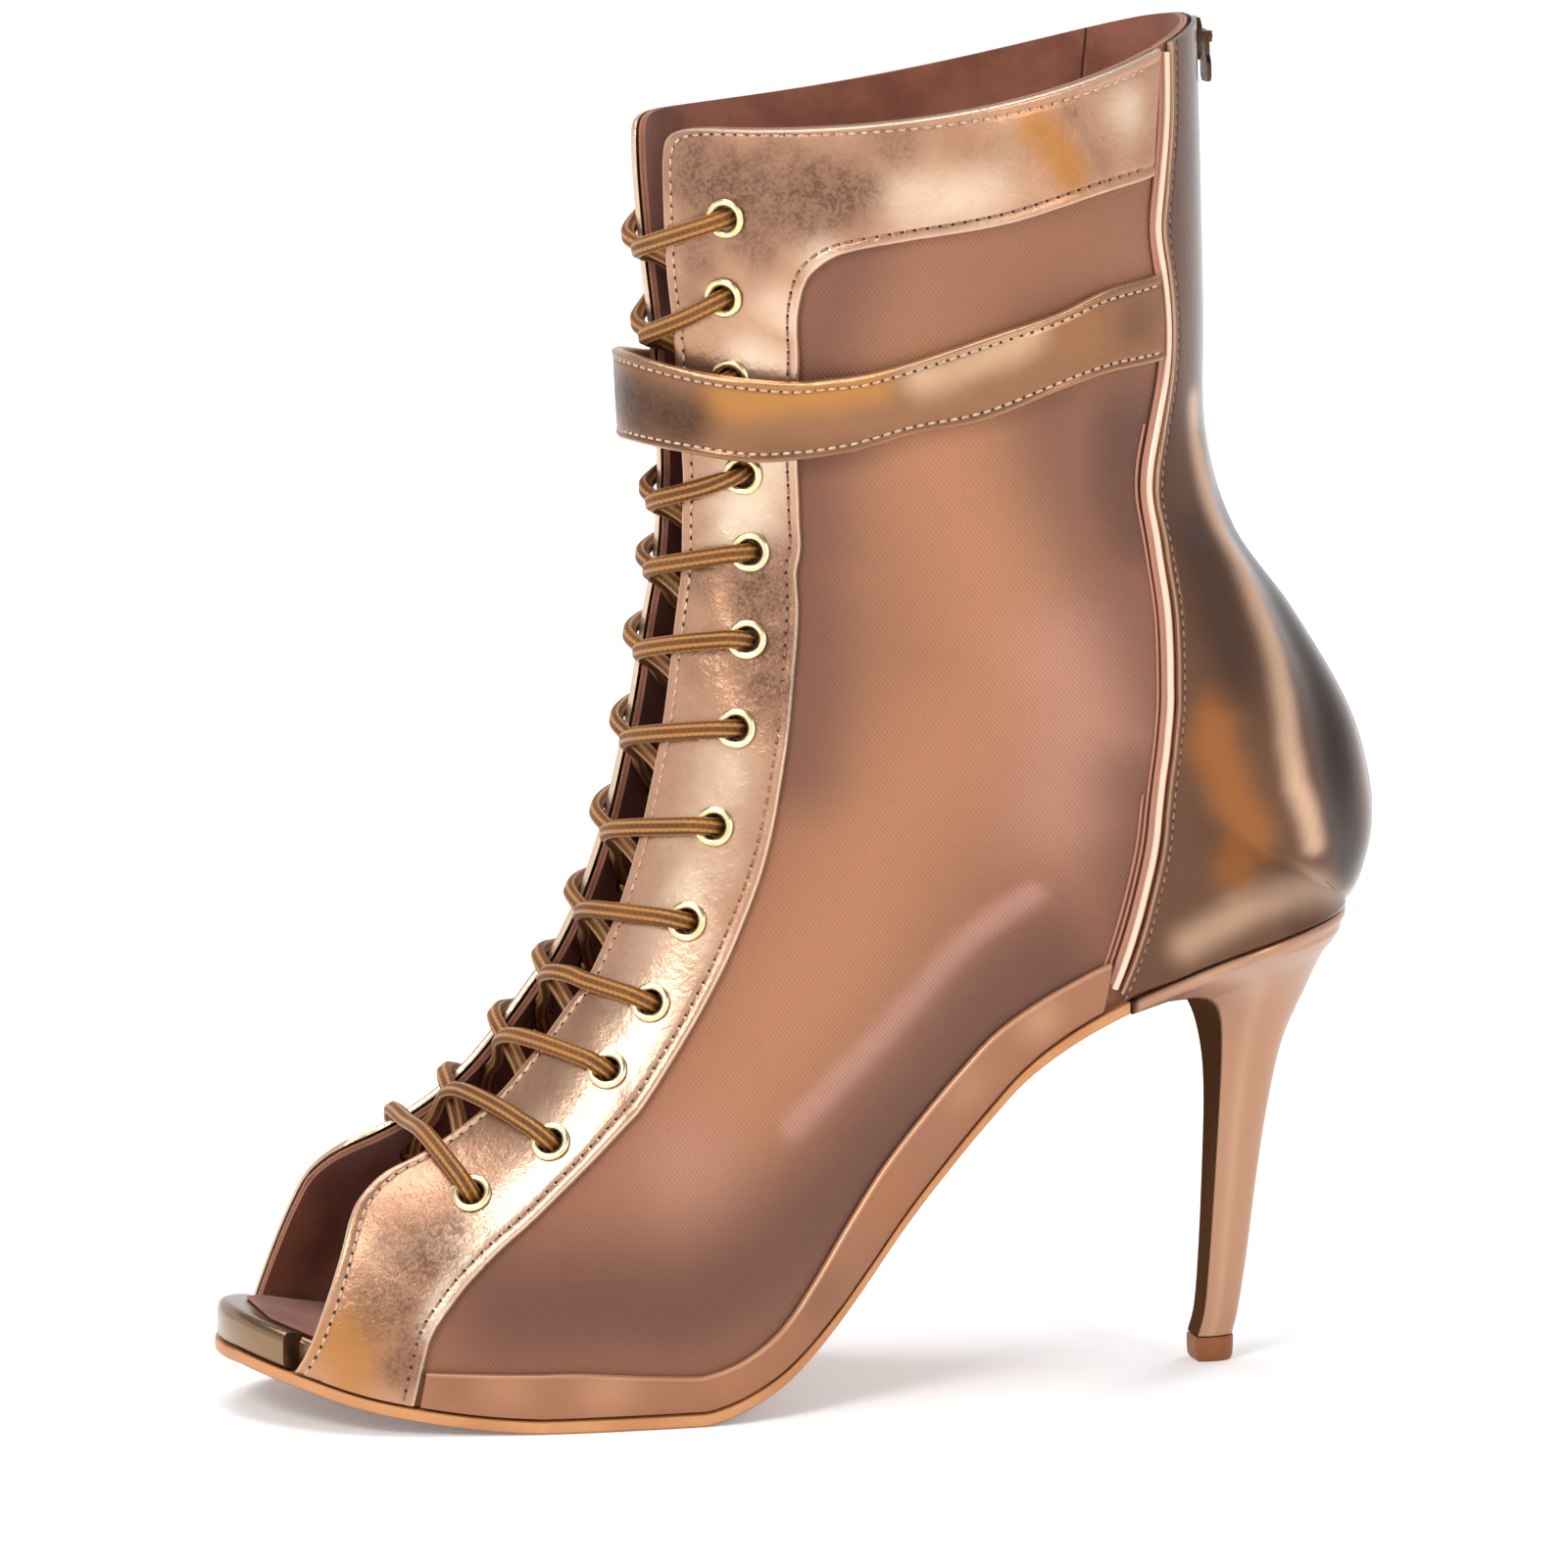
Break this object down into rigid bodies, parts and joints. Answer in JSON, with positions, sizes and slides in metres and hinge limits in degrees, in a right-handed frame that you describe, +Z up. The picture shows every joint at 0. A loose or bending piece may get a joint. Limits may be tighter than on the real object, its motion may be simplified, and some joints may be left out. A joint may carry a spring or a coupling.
{
  "type": "dance ankle boot",
  "caption": "Dance ankle boot for the right foot on a slim high heel: open toe, laced front, sheer mesh sides, metallic leather facings, ankle strap and back zip.",
  "frame": {"origin": "middle of the flat tread under the ball of the foot, on the floor", "axes": "+Z up, toe towards -X, heel towards +X, the big-toe side towards -Y"},
  "size_m": [0.2132, 0.0779, 0.2448],
  "materials": {
    "metallic_leather": "rose-gold metallic leather, finely creased",
    "mesh": "sheer brown mesh",
    "lining_leather": "brown lining leather, metallic wrap at the toe",
    "sole_leather": "tan sole leather, smooth edge",
    "piping_cord": "pale metallic leather over cord",
    "brass": "polished pale brass",
    "lace_cord": "braided caramel brown cord",
    "heel_rubber": "brown rubber wear pad",
    "zip_metal": "pale gold plated metal",
    "zip_tape": "woven brown tape with fine teeth"
  },
  "bodies": {
    "boot": {"outsole": "sole_leather", "footbed": "lining_leather", "upper": "mesh", "eyestay_medial": "metallic_leather", "eyestay_lateral": "metallic_leather", "back_panel": "metallic_leather", "piping_medial": "piping_cord", "piping_lateral": "piping_cord", "rand_medial": "metallic_leather", "rand_lateral": "metallic_leather", "strap": "metallic_leather", "heel": "metallic_leather", "top_piece": "heel_rubber", "zip": "zip_tape", "zip_slider": "zip_metal", "eyelet_medial_01": "brass", "eyelet_medial_02": "brass", "eyelet_medial_03": "brass", "eyelet_medial_04": "brass", "eyelet_medial_05": "brass", "eyelet_medial_06": "brass", "eyelet_medial_07": "brass", "eyelet_medial_08": "brass", "eyelet_medial_09": "brass", "eyelet_medial_10": "brass", "eyelet_medial_11": "brass", "eyelet_medial_12": "brass", "eyelet_medial_13": "brass", "eyelet_lateral_01": "brass", "eyelet_lateral_02": "brass", "eyelet_lateral_03": "brass", "eyelet_lateral_04": "brass", "eyelet_lateral_05": "brass", "eyelet_lateral_06": "brass", "eyelet_lateral_07": "brass", "eyelet_lateral_08": "brass", "eyelet_lateral_09": "brass", "eyelet_lateral_10": "brass", "eyelet_lateral_11": "brass", "eyelet_lateral_12": "brass", "eyelet_lateral_13": "brass", "lace_crossing_01": "lace_cord", "lace_crossing_02": "lace_cord", "lace_crossing_03": "lace_cord", "lace_crossing_04": "lace_cord", "lace_crossing_05": "lace_cord", "lace_crossing_06": "lace_cord", "lace_crossing_07": "lace_cord", "lace_crossing_08": "lace_cord", "lace_crossing_09": "lace_cord", "lace_crossing_10": "lace_cord", "lace_crossing_11": "lace_cord", "lace_crossing_12": "lace_cord", "lace_bar_13": "lace_cord"},
    "zip_pull": {"zip_pull": "zip_metal"}
  },
  "joints": [
    {"name": "zip_pull_hinge", "type": "hinge", "parent": "boot", "child": "zip_pull", "pos_m": [0.11563, 0, 0.24084], "axis": [0, -1, 0], "range_deg": [0, 165]}
  ]
}
